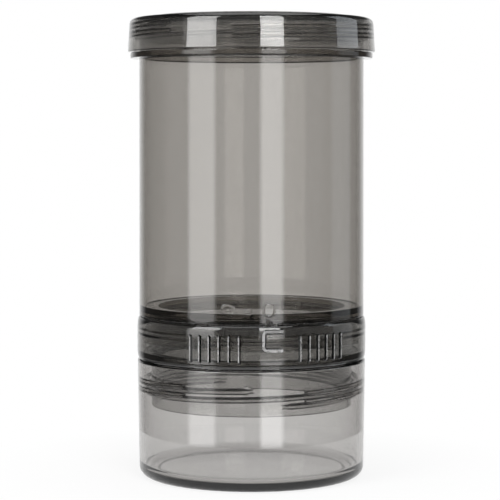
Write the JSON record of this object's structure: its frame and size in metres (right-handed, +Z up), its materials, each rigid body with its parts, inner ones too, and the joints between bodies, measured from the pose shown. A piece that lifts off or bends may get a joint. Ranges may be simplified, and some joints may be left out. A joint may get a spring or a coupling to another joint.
{
  "type": "cricket dusting shaker",
  "caption": "Clear smoked plastic dusting shaker: screw lid, long tube, sieve and twist shutter over a screw-on base cup.",
  "frame": {"origin": "centre of the foot ring, on the surface that the shaker stands on", "axes": "+Z up along the shaker's axis, -Y towards the front, where the collar's index mark is, +X to the right seen from the front"},
  "size_m": [0.0988, 0.0988, 0.1837],
  "materials": {
    "tube_smoke": "clear smoked styrene, polished",
    "collar_smoke": "clear dark smoked styrene, polished",
    "cup_smoke": "clear light smoked styrene, polished",
    "sieve_smoke": "clear dark smoked styrene, satin",
    "seal_grey": "soft matt silicone"
  },
  "bodies": {
    "base": {"base_cup": "cup_smoke"},
    "cup_seal_carrier": {"cup_seal": "seal_grey"},
    "collar": {"collar_ring": "collar_smoke", "shutter_disc": "sieve_smoke"},
    "chamber": {"chamber_tube": "tube_smoke", "sieve_disc": "sieve_smoke"},
    "lid_seal_carrier": {"lid_seal": "seal_grey"},
    "cap": {"lid": "collar_smoke"}
  },
  "joints": [
    {"name": "collar_lift", "type": "slide", "parent": "base", "child": "cup_seal_carrier", "axis": [0, 0, 1], "range_m": [0, 0.0199]},
    {"name": "collar_turn", "type": "hinge", "parent": "cup_seal_carrier", "child": "collar", "pos_m": [0, 0, 0.0472], "axis": [0, 0, 1], "range_deg": [0, 1080]},
    {"name": "tube_twist", "type": "hinge", "parent": "collar", "child": "chamber", "pos_m": [0, 0, 0.0645], "axis": [0, 0, 1], "range_deg": [0, 20]},
    {"name": "lid_lift", "type": "slide", "parent": "chamber", "child": "lid_seal_carrier", "axis": [0, 0, 1], "range_m": [0, 0.0133]},
    {"name": "lid_turn", "type": "hinge", "parent": "lid_seal_carrier", "child": "cap", "pos_m": [0, 0, 0.1697], "axis": [0, 0, 1], "range_deg": [0, 720]}
  ],
  "couplings": [
    {"joint": "collar_lift", "follows": "collar_turn", "m_per_rad": 0.0010504},
    {"joint": "lid_lift", "follows": "lid_turn", "m_per_rad": 0.0010504}
  ]
}
